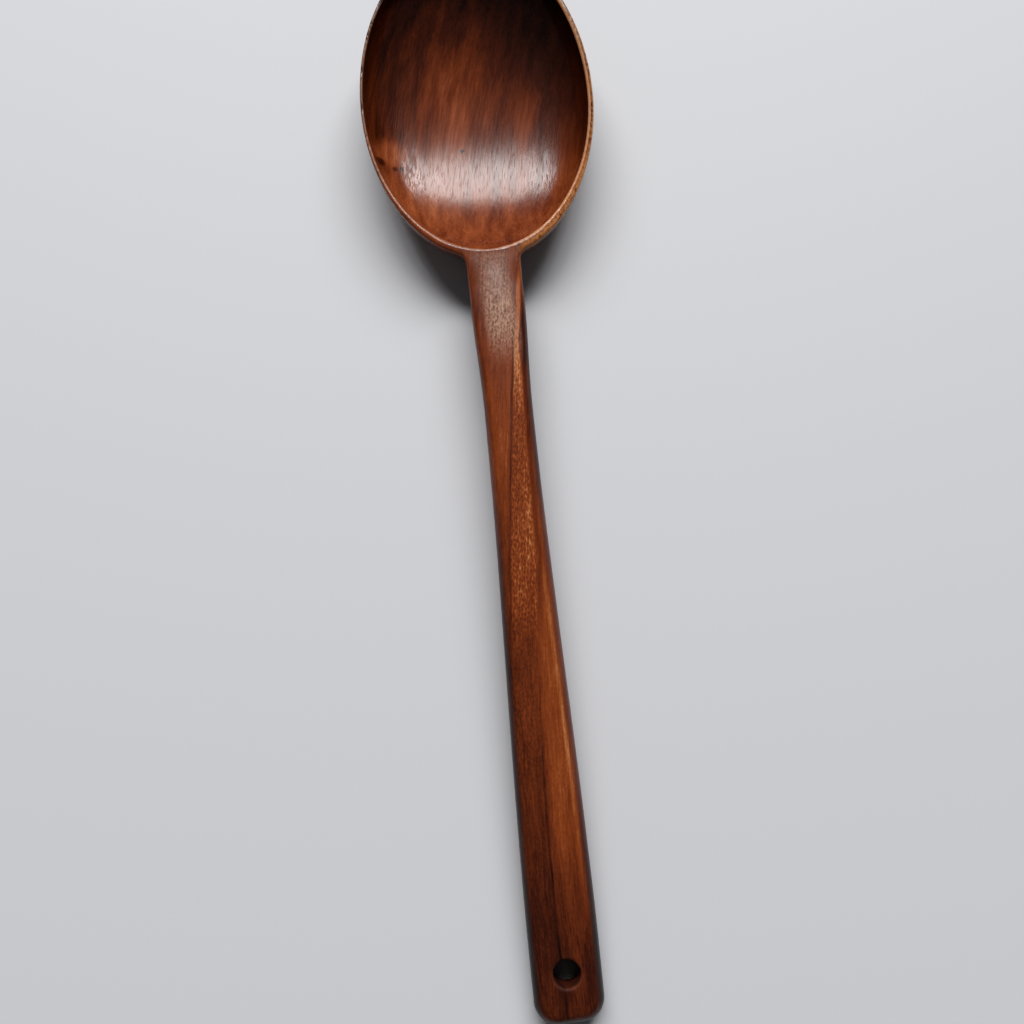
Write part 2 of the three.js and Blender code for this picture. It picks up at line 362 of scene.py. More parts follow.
def spoon_field():
    """A group that gives a point's distance to the wood, the hollow, the top and the handle's side."""
    inputs = {"Point": "Vector", **{name: "Float" for name in SIZES}}
    outputs = {"Wood": "Float", "Hollow": "Float", "Top": "Float", "Side": "Float"}
    tree, size = open_group("Spoon field", inputs, outputs)
    x = tree.add("ShaderNodeSeparateXYZ", sockets={"Vector": size["Point"]})
    y = x.other("Y")
    z = x.other("Z")
    place = y - END_OF_HANDLE

    tilt_sine = tree.math("SINE", size["Bowl tilt"])
    tilt_cosine = tree.math("COSINE", size["Bowl tilt"])
    from_widest = place - size["Handle length"] - size["Bowl back"] * tilt_cosine
    from_rim = z - size["Rim height"]
    along = from_widest * tilt_cosine + from_rim * tilt_sine
    height = from_rim * tilt_cosine - from_widest * tilt_sine
    half_width = size["Bowl width"] / 2
    outside = (half_width, size["Bowl back"], size["Bowl front"])
    wall = bowl_wall(
        tree, (x, along, height), outside, size["Bowl depth"], size["Rim round"], size["Bowl fullness"]
    )

    half_handle = handle_half_width(tree, size, place)
    to_neck = tree.rise(place, size["Handle length"] - NECK_BLEND, size["Handle length"])
    off_middle = tree.smallest(abs(x) / half_handle, 1)
    crown = size["Crown"] * off_middle * off_middle * (1 - to_neck)
    top = top_height(tree, size, place) - crown
    share = tree.smallest(place / size["Handle length"], 1)
    thickness = size["End thickness"] + (size["Neck thickness"] - size["End thickness"]) * share * share
    side = abs(x) - half_handle
    plan = rounded_cut(tree, side, -place, size["End corner"])
    plan = tree.largest(plan, from_widest)
    shaft = rounded_cut(tree, plan, top - thickness - z, size["Lower edge"])

    blank = rounded_join(tree, wall, shaft, size["Neck fillet"])
    planed = rounded_cut(tree, blank, z - top, upper_edge(tree, size, x, place, to_neck))

    inside_back = size["Bowl back"] - size["Neck rim"]
    inside = (half_width - size["Side rim"], inside_back, size["Bowl front"] - size["Tip rim"])
    inside_point = (x - size["Hollow offset"], along, height)
    hollow_depth = size["Bowl depth"] - size["Floor thickness"]
    hollow = bowl_wall(tree, inside_point, inside, hollow_depth, size["Lip round"], size["Bowl fullness"])
    hollowed = rounded_cut(tree, planed, -hollow, size["Lip round"])
    hole = tree.hypotenuse(x, place - size["Hole from end"]) - size["Hole diameter"] / 2
    drilled = rounded_cut(tree, hollowed, -hole, size["Hole edge"])

    noise = tree.add(
        "ShaderNodeTexNoise",
        {"noise_dimensions": "4D"},
        {"Vector": size["Point"], "W": size["Seed"], "Scale": 1 / SANDING_WAVE, "Detail": 1.0},
    )
    sanded = drilled + (noise - NOISE_MIDDLE) * size["Sanding"]
    wood = tree.largest(sanded, -z)
    tree.add("NodeGroupOutput", sockets={"Wood": wood, "Hollow": hollow, "Top": z - top, "Side": side})
    return tree.node_tree


field_group = spoon_field()
print(f"the spoon's field is a group of {len(field_group.nodes)} nodes")

# %% [markdown]
# ## Rubbing the mesh smooth
#
# A mesh taken from a grid of samples is a little bumpy, because its points lie where the grid lets them.
# So each point is drawn towards its neighbours, which evens out the faces, and then pushed along the
# field's slope until its distance is about zero. A scraper does the same: it takes off what stands proud,
# and nothing else.

# %% One pass of evening out and pushing back to the surface
PROBE = 0.03


def field_at(tree, point, size):
    """The distances at a point, by the field's group."""
    sockets = {"Point": point, **{name: size[name] for name in SIZES}}
    return tree.add("GeometryNodeGroup", {"node_tree": field_group}, sockets, output="Wood")


def rubbing_pass():
    """A group that moves a mesh's points onto the surface of the field."""
    inputs = {"Mesh": "Geometry", "Evenness": "Float", **{name: "Float" for name in SIZES}}
    tree, size = open_group("Rubbing pass", inputs, {"Mesh": "Geometry"})
    position = tree.add("GeometryNodeInputPosition")
    evened = tree.add(
        "GeometryNodeBlurAttribute",
        {"data_type": "FLOAT_VECTOR"},
        {"Value": position, "Iterations": 1, "Weight": size["Evenness"]},
    )
    even_mesh = tree.add("GeometryNodeSetPosition", sockets={"Geometry": size["Mesh"], "Position": evened})
    here = field_at(tree, position, size)
    slopes = []
    for step in ((PROBE, 0, 0), (0, PROBE, 0), (0, 0, PROBE)):
        ahead = field_at(tree, tree.vector_math("ADD", position, step), size)
        slopes.append((ahead - here) / PROBE)
    slope = tree.vector(*slopes)
    steepness = slopes[0] * slopes[0] + slopes[1] * slopes[1] + slopes[2] * slopes[2]
    push = tree.vector_math("SCALE", slope, -here / (steepness + TINY))
    rubbed = tree.add("GeometryNodeSetPosition", sockets={"Geometry": even_mesh, "Offset": push})
    tree.add("NodeGroupOutput", sockets={"Mesh": rubbed})
    return tree.node_tree


rubbing_group = rubbing_pass()
print(f"one rubbing pass is a group of {len(rubbing_group.nodes)} nodes")

# %% [markdown]
# ## Marks for the wood
#
# The wood is not alike everywhere: the rim is pale, partly bare wood and partly a painted highlight, the
# right upper edge is lighter, and the handle's sides get painted shade. The wood has to know where these
# places are. They could be painted on the mesh by hand, but the field knows them already. So every point
# stores a few numbers from 0 to 1, and the material reads them as attributes.

# %% Marks on the surface
MARKS = ("rim", "edge", "shell", "side", "flank", "lip")
RIM_BAND = (0.4, 1.2)
RIM_DROP = (0.1, 0.9)
EDGE_START = (0.05, 0.25)
EDGE_STOP = (0.45, 0.9)
SHELL_START = (0.8, 1.5)
SIDE_START = (0.5, 1.4)
FLANK_START = (-2.3, -0.9)
LIP_STOP = (1.5, 5.0)


def surface_marks(tree, wood):
    """Rim, upper edge, outside of the hollow, below the edge, handle's side, and just under the top."""
    from_hollow = wood.other("Hollow")
    below_top = -wood.other("Top")
    rim = (1 - tree.rise(from_hollow, *RIM_BAND)) * (1 - tree.rise(below_top, *RIM_DROP))
    edge = tree.rise(below_top, *EDGE_START) * (1 - tree.rise(below_top, *EDGE_STOP))
    shell = tree.rise(from_hollow, *SHELL_START)
    side = tree.rise(below_top, *SIDE_START)
    flank = tree.rise(wood.other("Side"), *FLANK_START)
    lip = 1 - tree.rise(below_top, *LIP_STOP)
    return dict(zip(MARKS, (rim, edge, shell, side, flank, lip)))


print("marks on the surface:", ", ".join(MARKS))

# %% [markdown]
# ## From field to mesh
#
# Volume Cube samples the field in a box of small cells, and Volume to Mesh wraps the wood in faces. Both
# work in millimetres, because cells of half a thousandth of a metre are too small for a volume grid, and
# the mesh is scaled to metres at the end. Along the handle little changes from one millimetre to the
# next, so the cells are longer that way.

# %% The spoon's Geometry Nodes tree
CELL = (0.58, 0.68, 0.58)
MARGIN = 2.0
RUBBING_PASSES = (0.5, 0.4, 0.0)


def wrapped_field(tree, size):
    """A mesh around the wood, from samples of the field in a box of cells."""
    low = [edge / MM - MARGIN for edge in cad_low]
    high = [edge / MM + MARGIN for edge in cad_high]
    cells = [math.ceil((top - bottom) / cell) for bottom, top, cell in zip(low, high, CELL)]
    distance = field_at(tree, tree.add("GeometryNodeInputPosition"), size)
    sockets = {"Density": -distance, "Background": -1.0, "Min": low, "Max": high}
    sockets.update(zip(("Resolution X", "Resolution Y", "Resolution Z"), cells))
    volume = tree.add("GeometryNodeVolumeCube", sockets=sockets)
    return tree.add("GeometryNodeVolumeToMesh", sockets={"Volume": volume, "Threshold": 0.0})


def spoon_tree(material):
    """The whole tree: sample and wrap, rub smooth, mark the surface, scale to metres."""
    inputs = {"Geometry": "Geometry", **{name: "Float" for name in SIZES}}
    tree, size = open_group("Carved spoon", inputs, {"Geometry": "Geometry"})
    mesh = wrapped_field(tree, size)
    for evenness in RUBBING_PASSES:
        sockets = {"Mesh": mesh, "Evenness": evenness, **{name: size[name] for name in SIZES}}
        mesh = tree.add("GeometryNodeGroup", {"node_tree": rubbing_group}, sockets, output="Mesh")
    wood = field_at(tree, tree.add("GeometryNodeInputPosition"), size)
    for mark, value in surface_marks(tree, wood).items():
        sockets = {"Geometry": mesh, "Name": mark, "Value": value}
        settings = {"data_type": "FLOAT", "domain": "POINT"}
        mesh = tree.add("GeometryNodeStoreNamedAttribute", settings, sockets)
    scaled = tree.add("GeometryNodeTransform", sockets={"Geometry": mesh, "Scale": (MM, MM, MM)})
    smooth = tree.add("GeometryNodeSetShadeSmooth", sockets={"Geometry": scaled})
    real = tree.add("GeometryNodeRealizeInstances", sockets={"Geometry": smooth})
    finished = tree.add("GeometryNodeSetMaterial", sockets={"Geometry": real, "Material": material})
    tree.add("NodeGroupOutput", sockets={"Geometry": finished})
    return tree.node_tree


def carve(name, material):
    """Evaluates the tree once and keeps its result as a plain mesh."""
    holder = bpy.data.objects.new(name, bpy.data.meshes.new(name))
    bpy.context.scene.collection.objects.link(holder)
    modifier = holder.modifiers.new("Carving", "NODES")
    modifier.node_group = spoon_tree(material)
    for item in modifier.node_group.interface.items_tree:
        if item.in_out == "INPUT" and item.name in SIZES:
            modifier[item.identifier] = SIZES[item.name]
    graph = bpy.context.evaluated_depsgraph_get()
    mesh = bpy.data.meshes.new_from_object(holder.evaluated_get(graph), depsgraph=graph)
    holder.modifiers.remove(modifier)
    holder.data = mesh
    return holder


print(f"cells of {CELL} mm and {len(RUBBING_PASSES)} rubbing passes")

# %% [markdown]
# ## The wood
#
# Wood is not a print on the surface: the growth rings run through the whole plank, and the carver's cuts
# show them as lines, flames and rings. So the figure is worked out in space, from Object coordinates. A
# ring number comes from how far a point lies across the plank; the plank's rings lean, and bend along its
# length. Noise that is drawn out along the spoon gives streaks and fibres, and a finer one gives the
# pores.

# %% Where a point lies in the plank
RING_SLANT = 0.3
RING_BEND = 0.0005
RING_BEND_FROM = -112.0
RING_ZERO = 12.75
WANDERS = ((40.0, 1.2), (8.0, 0.6))
NOISES = {
    "bands": (7.0, 160.0, 2.0),
    "blotches": (2.6, 24.0, 2.0),
    "fibres": (0.45, 12.0, 2.0),
    "dashes": (0.42, 4.5, 1.0),
    "mottle": (0.55, 1.0, 2.0),
}
NET_CELL = (0.5, 1.15)


def ring_number(tree, point, x, y, z):
    """How far across the plank's leaning, bending rings a point lies, in millimetres, with some wander."""
    past_bend = y - RING_BEND_FROM
    ring = x - past_bend * past_bend * RING_BEND - z * RING_SLANT + RING_ZERO
    for wave, reach in WANDERS:
        wander = tree.add("ShaderNodeTexNoise", sockets={"Vector": point, "Scale": 1 / wave, "Detail": 1.0})
        ring = ring + (wander - NOISE_MIDDLE) * reach
    return ring


def grain_of(tree):
    """A point's place, ring number and marks, and noise that is drawn out along the grain."""
    place = tree.add("ShaderNodeTexCoord", output="Object")
    point = tree.vector_math("SCALE", place, 1 / MM)
    x = tree.add("ShaderNodeSeparateXYZ", sockets={"Vector": point})
    y = x.other("Y")
    z = x.other("Z")
    ring = ring_number(tree, point, x, y, z)
    grain = {"x": x, "y": y, "ring": ring}
    for name, (across, along, detail) in NOISES.items():
        stretched = tree.vector(ring / across, y / along, z / across)
        sockets = {"Vector": stretched, "Scale": 1.0, "Detail": detail}
        grain[name] = tree.add("ShaderNodeTexNoise", sockets=sockets)
    across, along = NET_CELL
    net = {"Vector": tree.vector(ring / across, y / along, z / across), "Scale": 1.0}
    grain["net"] = tree.add("ShaderNodeTexVoronoi", sockets=net, output="Distance")
    for mark in MARKS:
        grain[mark] = tree.add("ShaderNodeAttribute", {"attribute_name": mark}, output="Fac")
    return grain


def swing(grain, name):
    """A noise as a swing to both sides of zero."""
    return grain[name] - NOISE_MIDDLE


print(f"{len(NOISES)} noises along the grain:", ", ".join(NOISES))

# %% [markdown]
# ## Bands and knots of this plank
#
# Noise alone gives some plank, but not this one. A dark line runs down to the hole, the wood to its right
# is orange, a flame lies in the bowl, and a few small knots stand at its left wall. An image would copy
# them, but it would slide or stretch on the carved surface. So each band is a range of rings and a range
# along the spoon, in millimetres, with the change of tone that it brings, and each knot is a place, a
# radius and a change.
# Two of the bands are painted shade, in the deep hollow and at the far end of the bowl, and the warm spot
# on the left wall is painted light.

# %% Bands and knots of this plank
ALL_RINGS = (-200.0, 200.0, 1.0)
PLANK_BANDS = {
    "dark line beside the open grain": ((-0.3, 0.2, 0.35), (-55, 42, 15), -0.15),
    "warm wood left of it": ((-20.0, -0.5, 0.5), (-14, 40, 10), 0.2),
    "dark line to the hole": ((7.4, 8.0, 0.4), (-175, -66, 12), -0.2),
    "orange wood right of it": ((8.8, 60.0, 1.6), (-109, -8, 18), 0.18),
    "dark wood left of it": ((-30.0, 7.3, 0.8), (-132, -34, 14), -0.1),
    "dark end of the handle": (ALL_RINGS, (-175, -130, 20), -0.22),
    "warm wood at the neck": (ALL_RINGS, (66, 92, 8), 0.11),
    "flame in the bowl": ((-23.6, -21.2, 1.6), (85, 150, 14), 0.12),
    "glow around it": ((-28.0, -17.0, 4.0), (85, 138, 18), 0.12),
    "dark left wall": ((-80.0, -38.0, 5.0), (98, 180, 12), -0.1),
    # Painted shade: the next two bands darken the deep hollow and the far end of the bowl, where the rim
    # shades them.
    "deep hollow": (ALL_RINGS, (100, 180, 8), -0.05),
    "dark far end of the bowl": (ALL_RINGS, (130, 180, 22), -0.16),
}
SPOTS = {
    "pin knot": (-6.1, 103.1, 0.9, -0.6),
    "dark knot at the wall": (-32.1, 98.6, 2.0, -0.4),
    "dark fleck beside it": (-27.9, 97.2, 1.2, -0.35),
    "second fleck": (-25.7, 97.5, 1.2, -0.3),
    "pale patch above them": (-29.0, 102.5, 7.0, 0.34),
    # Painted light: the warm spot lightens the near left wall of the hollow.
    "warm left wall": (-28.0, 90.0, 11.0, 0.08),
    "brown patch on the right": (12.0, 116.0, 13.0, 0.07),
}
SPOT_CORE = 0.3


def plank_tone(tree, grain):
    """How much the plank's bands and knots lighten or darken a point, with some painted shade and painted
    light among them.
    """
    tone = 0
    for across, along, change in PLANK_BANDS.values():
        tone = tone + tree.between(grain["ring"], *across) * tree.between(grain["y"], *along) * change
    for spot_x, spot_y, radius, change in SPOTS.values():
        away = tree.hypotenuse(grain["x"] - spot_x, grain["y"] - spot_y)
        tone = tone + (1 - tree.rise(away, radius * SPOT_CORE, radius)) * change
    return tone


print(f"{len(PLANK_BANDS)} bands and {len(SPOTS)} spots")

# %% [markdown]
# ## The open grain
#
# Along the middle of the handle the cut meets coarse wood, with pores that show as a net of small flecks.
# The band narrows towards the neck, where it turns golden. A cell texture, about twice as long as wide,
# makes the net: the middle of each cell is dark, like a pore, and the wood between them is light.

# %% The band of open grain on the handle
OPEN_LEFT = (0.1, 0.7)
OPEN_RIGHT = (-0.5, 0.3)
OPEN_WIDTH = 5.2
OPEN_TAPER = 0.095
OPEN_WIDTH_LIMITS = (1.9, 8.0)
GOLDEN_ALONG = (-50, 56, 8)
GOLDEN_TONE = 0.1
GOLDEN_NECK_RISE = (8, 30)
GOLDEN_NECK_TONE = 0.34
FLECKS_ALONG = (-55, 30, 12)
FLECK_TONE = 0.55
FAINT_FLECKS_ALONG = (-96, -60, 14)
FAINT_FLECK_TONE = 0.24
NET_MIDDLE = 0.42
SHADE_ACROSS = (0.3, 1.6, 0.4)
SHADE_ALONG = (-45, 54, 9)
SHADE_TONE = 0.14


def open_grain_tone(tree, grain):
    """The change of tone in the band of coarse wood, and in the dark strip right of it."""
    y = grain["y"]
    narrowest, widest = OPEN_WIDTH_LIMITS
    width = tree.smallest(tree.largest(OPEN_WIDTH - y * OPEN_TAPER, narrowest), widest)
    past_right = grain["ring"] - width
    coarse = tree.rise(grain["ring"], *OPEN_LEFT) * (1 - tree.rise(past_right, *OPEN_RIGHT))
    golden = GOLDEN_TONE + tree.rise(y, *GOLDEN_NECK_RISE) * GOLDEN_NECK_TONE
    golden = tree.between(y, *GOLDEN_ALONG) * golden
    flecks = tree.between(y, *FLECKS_ALONG) * FLECK_TONE
    flecks = flecks + tree.between(y, *FAINT_FLECKS_ALONG) * FAINT_FLECK_TONE
    shade = tree.between(past_right, *SHADE_ACROSS) * tree.between(y, *SHADE_ALONG)
    return coarse * (golden + flecks * (grain["net"] - NET_MIDDLE)) - shade * SHADE_TONE


print(f"open grain {OPEN_WIDTH_LIMITS[0]} to {OPEN_WIDTH_LIMITS[1]} mm wide")

# %% [markdown]
# ## Sides and edges
#
# The handle's sides, and streaks beside the neck, are darkened as painted shade. The right upper edge is
# lighter. The marks on the surface say where that is, so the same wood can be darker round the corner
# without a second material.

# %% Painted shade on the sides, and a light edge
NECK_MIDDLE = 0.5
NECK_SIDE_SHADE_ACROSS = (3.8, 6.8)
NECK_SIDE_SHADE_ALONG = (26, 47, 7)
NECK_SIDE_SHADE_TONE = 0.04
NECK_SHADE_STREAKS = (0.4, 0.62)
NECK_SHADE_STREAK_TONE = 0.2
SIDE_SHADE_TONE = 0.09
FLANK_SHADE_STOP = (28, 48)
FLANK_SHADE_TONE = 0.14
LIGHT_EDGE_ACROSS = (0, 3)
LIGHT_EDGE_ALONG = (-135, -40, 15)
LIGHT_EDGE_TONE = 0.2


def side_shade_and_edge_tone(tree, grain, on_handle):
    """Painted shade on the handle's sides and beside the neck, and a lighter strip along the right upper
    edge.
    """
    x, y = grain["x"], grain["y"]
    # Painted shade: the neck's sides, the handle's sides below the top and its flanks are darkened where
    # less light falls.
    neck_side_shade = tree.rise(abs(x - NECK_MIDDLE), *NECK_SIDE_SHADE_ACROSS) * tree.between(y, *NECK_SIDE_SHADE_ALONG)
    shade_streaks = NECK_SIDE_SHADE_TONE + tree.rise(grain["blotches"], *NECK_SHADE_STREAKS) * NECK_SHADE_STREAK_TONE
    dark = neck_side_shade * shade_streaks + grain["side"] * on_handle * SIDE_SHADE_TONE
    dark = dark + grain["flank"] * (1 - tree.rise(y, *FLANK_SHADE_STOP)) * FLANK_SHADE_TONE
    light_edge = grain["edge"] * tree.rise(x, *LIGHT_EDGE_ACROSS) * tree.between(y, *LIGHT_EDGE_ALONG)
    return light_edge * LIGHT_EDGE_TONE - dark


print(f"the light edge runs from y = {LIGHT_EDGE_ALONG[0]} mm to y = {LIGHT_EDGE_ALONG[1]} mm")

# %% [markdown]
# ## The tone of the wood
#
# All that is summed up in one number, the tone, from 0 for the darkest wood to 1 for the lightest. The
# noises have other weights in the bowl than on the handle, because the bowl is cut across the rings and
# shows broad streaks. Its far right side is darker, with calmer streaks: partly darker heartwood, partly
# painted shade. On the bowl's outer wall that darkening is weaker, which paints light there.

# %% The tone of the wood
MIDDLE_TONE = 0.5
HANDLE_TO_BOWL = (45, 70)
FIGURE_IN_BOWL = {"bands": 0.45, "blotches": 0.56, "fibres": 0.28, "dashes": 0.06, "mottle": 0.14}
MORE_ON_HANDLE = {"bands": 0.0, "blotches": -0.24, "fibres": 0.14, "dashes": 0.12, "mottle": 0.12}
HEART_AND_SHADE_REACH = (26, 34)
HEART_AND_SHADE_FROM_Y = 122
HEART_AND_SHADE_RISE = (-0.2, 1.4)
HEART_AND_SHADE_START = (70, 90)
HEART_AND_SHADE_CALM = 0.55
HEART_AND_SHADE_DARK = 0.27
HEART_AND_SHADE_DARK_OUTSIDE = 0.12


def wood_tone(tree, grain):
    """How light the wood is, from 0 to 1, with painted shade and painted light summed in."""
    x, y = grain["x"], grain["y"]
    on_handle = 1 - tree.rise(y, *HANDLE_TO_BOWL)
    figure = 0
    for name, weight in FIGURE_IN_BOWL.items():
        figure = figure + swing(grain, name) * (weight + on_handle * MORE_ON_HANDLE[name])
    across, along = HEART_AND_SHADE_REACH
    # Darker heartwood and painted shade together on the bowl's far right side, lighter on the outer wall as
    # painted light.
    heart_and_shade = tree.rise(x / across + (y - HEART_AND_SHADE_FROM_Y) / along, *HEART_AND_SHADE_RISE) * tree.rise(y, *HEART_AND_SHADE_START)
    heart_and_shade_dark = HEART_AND_SHADE_DARK + grain["shell"] * (HEART_AND_SHADE_DARK_OUTSIDE - HEART_AND_SHADE_DARK)
    tone = MIDDLE_TONE + figure * (1 - heart_and_shade * HEART_AND_SHADE_CALM) - heart_and_shade * heart_and_shade_dark
    tone = tone + plank_tone(tree, grain) + open_grain_tone(tree, grain)
    return tone + side_shade_and_edge_tone(tree, grain, on_handle)


print(f"figure from {len(FIGURE_IN_BOWL)} noises about a tone of {MIDDLE_TONE}")

# %% [markdown]
# ## Heartwood, and painted light under the rim
#
# The tone becomes a colour by a ramp from nearly black to a pale orange. Two other colours are mixed in:
# the light streaks of the hollow are a little browner, and a strip on the outer wall under the right rim
# gets painted light, a yellow that breaks up in patches where it ends.

# %% Heartwood, and painted light under the rim
WOOD_COLOURS = (
    (0.0, (0.008, 0.0018, 0.0008)),
    (0.25, (0.045, 0.0075, 0.0024)),
    (0.5, (0.125, 0.0225, 0.0050)),
    (0.72, (0.215, 0.0430, 0.0085)),
    (0.9, (0.330, 0.0980, 0.0270)),
    (1.0, (0.450, 0.1850, 0.0720)),
)
BROWN_COLOUR = (0.30, 0.14, 0.085, 1.0)
BROWN_START = (62, 72)
BROWN_TONES = (0.42, 0.75)
BROWN_SHARE = 0.08
LIT_YELLOW_COLOUR = (0.58, 0.24, 0.075, 1.0)
LIT_STRIP_ACROSS = (5, 13)
LIT_STRIP_ALONG = (60, 138, 20)
LIT_STRIP_BLOTCHES = 0.5
LIT_STRIP_PATCHES = (0.25, 0.6)
LIT_STRIP_SHARE = 0.85


def mix_colours(tree, share, one, other):
    sockets = {"Factor_Float": share, "A_Color": one, "B_Color": other}
    return tree.add("ShaderNodeMix", {"data_type": "RGBA"}, sockets, output="Result_Color")


def plank_colour(tree, grain):
    """The colour of the cut plank, with painted light on the outer wall under the right rim."""
    x, y = grain["x"], grain["y"]
    tone = wood_tone(tree, grain)
    colour = tree.add("ShaderNodeValToRGB", {"stops": WOOD_COLOURS}, {"Fac": tone})
    brown = tree.rise(y, *BROWN_START) * (1 - grain["shell"]) * tree.rise(tone, *BROWN_TONES)
    colour = mix_colours(tree, brown * BROWN_SHARE, colour, BROWN_COLOUR)
    patches = grain["mottle"] + swing(grain, "blotches") * LIT_STRIP_BLOTCHES
    # Painted light: a yellow strip on the outer wall under the right rim, broken into patches.
    lit_strip = tree.rise(x, *LIT_STRIP_ACROSS) * tree.between(y, *LIT_STRIP_ALONG)
    lit_strip = lit_strip * grain["shell"] * grain["lip"] * tree.rise(patches, *LIT_STRIP_PATCHES)
    return mix_colours(tree, lit_strip * LIT_STRIP_SHARE, colour, LIT_YELLOW_COLOUR)


print(f"{len(WOOD_COLOURS)} stops from heartwood to pale orange")

# %% [markdown]
# ## Pale rim with a painted highlight, and a painted sheen on the neck
#
# The rim is pale, most of all on the right, and there its outer edge too: partly bare wood that use has
# rubbed pale, partly a painted highlight where the rounded rim catches the light. On top of the neck a
# greyish patch between the pores is a painted sheen. Both are further colours, mixed in by masks that noise
# makes ragged, so that neither ends in a clean line.

# %% Pale rim with a painted highlight, and a painted sheen on the neck
WORN_AND_HIGHLIT_COLOUR = (0.50, 0.28, 0.19, 1.0)
WORN_AND_HIGHLIT_EDGE_ACROSS = (4, 12)
WORN_AND_HIGHLIT_EDGE_ALONG = (62, 146, 8)
WORN_AND_HIGHLIT_EDGE = 0.8
WORN_AND_HIGHLIT_FIBRES = 0.25
WORN_AND_HIGHLIT_RISE = (0.3, 0.85)
RIM_YELLOW_ACROSS = (2, 20)
RIM_YELLOW = 0.7
RIM_SHARE = 0.32
RIM_SHARE_ACROSS = (-8, 10)
RIM_SHARE_RIGHT = 0.45
NECK_SHEEN_COLOUR = (0.44, 0.265, 0.185, 1.0)
NECK_SHEEN_ACROSS = (-4.2, 4.4, 1.8)
NECK_SHEEN_ALONG = (33, 80, 8)
NECK_SHEEN_MIDDLE = 50
NECK_SHEEN_LEAN = 0.05
NECK_SHEEN_WIDE_RISE = (52, 64)
NECK_SHEEN_WIDE = 0.2
NECK_SHEEN_FIBRES = 0.5
NECK_SHEEN_PATCHES = (0.15, 0.85)
NECK_SHEEN_FADE_RISE = (42, 60)
NECK_SHEEN_FADE = 0.62


def rim_wear_and_highlight(tree, grain):
    """How pale the rim is, partly bare wood and partly a painted highlight: on the rim, and on the outer
    edge of its right half.
    """
    outer_edge = grain["edge"] * tree.rise(grain["x"], *WORN_AND_HIGHLIT_EDGE_ACROSS)
    outer_edge = outer_edge * tree.between(grain["y"], *WORN_AND_HIGHLIT_EDGE_ALONG)
    wear_and_highlight = grain["rim"] + outer_edge * WORN_AND_HIGHLIT_EDGE + swing(grain, "fibres") * WORN_AND_HIGHLIT_FIBRES
    return tree.rise(wear_and_highlight, *WORN_AND_HIGHLIT_RISE)


def worn_and_highlit_colour(tree, grain, colour, worn_and_highlit):
    """Mixes in the pale rim, bare wood and a painted highlight together, which is yellower on the right."""
    x = grain["x"]
    yellow = tree.rise(x, *RIM_YELLOW_ACROSS) * RIM_YELLOW
    rim_colour = mix_colours(tree, yellow, WORN_AND_HIGHLIT_COLOUR, LIT_YELLOW_COLOUR)
    share = RIM_SHARE + tree.rise(x, *RIM_SHARE_ACROSS) * RIM_SHARE_RIGHT
    # Painted highlight together with bare wood: the pale colour that is mixed in along the rim.
    return mix_colours(tree, worn_and_highlit * share, colour, rim_colour)


def painted_neck_sheen(tree, grain, colour, worn_and_highlit):
    """Mixes in a painted sheen: a greyish patch on top of the neck."""
    y = grain["y"]
    wide = 1 + tree.rise(y, *NECK_SHEEN_WIDE_RISE) * NECK_SHEEN_WIDE
    from_middle = (grain["x"] + (y - NECK_SHEEN_MIDDLE) * NECK_SHEEN_LEAN) / wide
    # Painted sheen: the greyish patch on the neck stands in for the light shining off its top.
    rubbed = tree.between(from_middle, *NECK_SHEEN_ACROSS) * tree.between(y, *NECK_SHEEN_ALONG)
    rubbed = rubbed * grain["shell"] * (1 - worn_and_highlit) * (1 - grain["side"])
    patches = grain["mottle"] + swing(grain, "fibres") * NECK_SHEEN_FIBRES
    rubbed = rubbed * tree.rise(patches, *NECK_SHEEN_PATCHES)
    fade = 1 - tree.rise(y, *NECK_SHEEN_FADE_RISE) * NECK_SHEEN_FADE
    return mix_colours(tree, rubbed * fade, colour, NECK_SHEEN_COLOUR)


print("worn rim and rubbed neck are ready")

# %% [markdown]
# ## Oil and pores
#
# The spoon was rubbed with oil, which lies on the wood as a thin, glossy film. It is a little thicker
# towards the neck, is nearly missing in the pores, in the hole and on the handle's sides, and breaks up
# in strokes at the sides of the hollow. A coat on top of the wood gives that gloss, and its weight is the
# film. The bowl was sanded finest, so the wood itself is smoother there.

# %% Where the oil lies, and how rough the wood is
HOLE_PLACE = END_OF_HANDLE + SIZES["Hole from end"]
HOLE_RADIUS = SIZES["Hole diameter"] / 2
BORE_EDGE = (HOLE_RADIUS + 0.5, HOLE_RADIUS + 1.0)
PORES = (0.52, 0.66)
HOLLOW_RISE = (62, 78)
STROKES = (0.42, 0.58)
STROKES_MIDDLE = -1
STROKES_ACROSS = (14, 27)
NECK_OIL_RISE = (10, 40)
OIL = 0.27
OIL_CHANGES = {"neck": 0.12, "bowl": -0.05, "pores": -0.25, "strokes": -0.32}
OIL_FIBRES = 0.5
OIL_FIBRES_OUTSIDE = 0.1
OIL_LOST_OUTSIDE = 0.5
OIL_LOST_ON_SIDES = 0.9
ROUGHNESS = 0.33
ROUGHNESS_CHANGES = {"bowl": -0.14, "worn_and_highlit": 0.1, "bore": 0.3, "strokes": 0.08}
ROUGH_FIBRES = 0.12


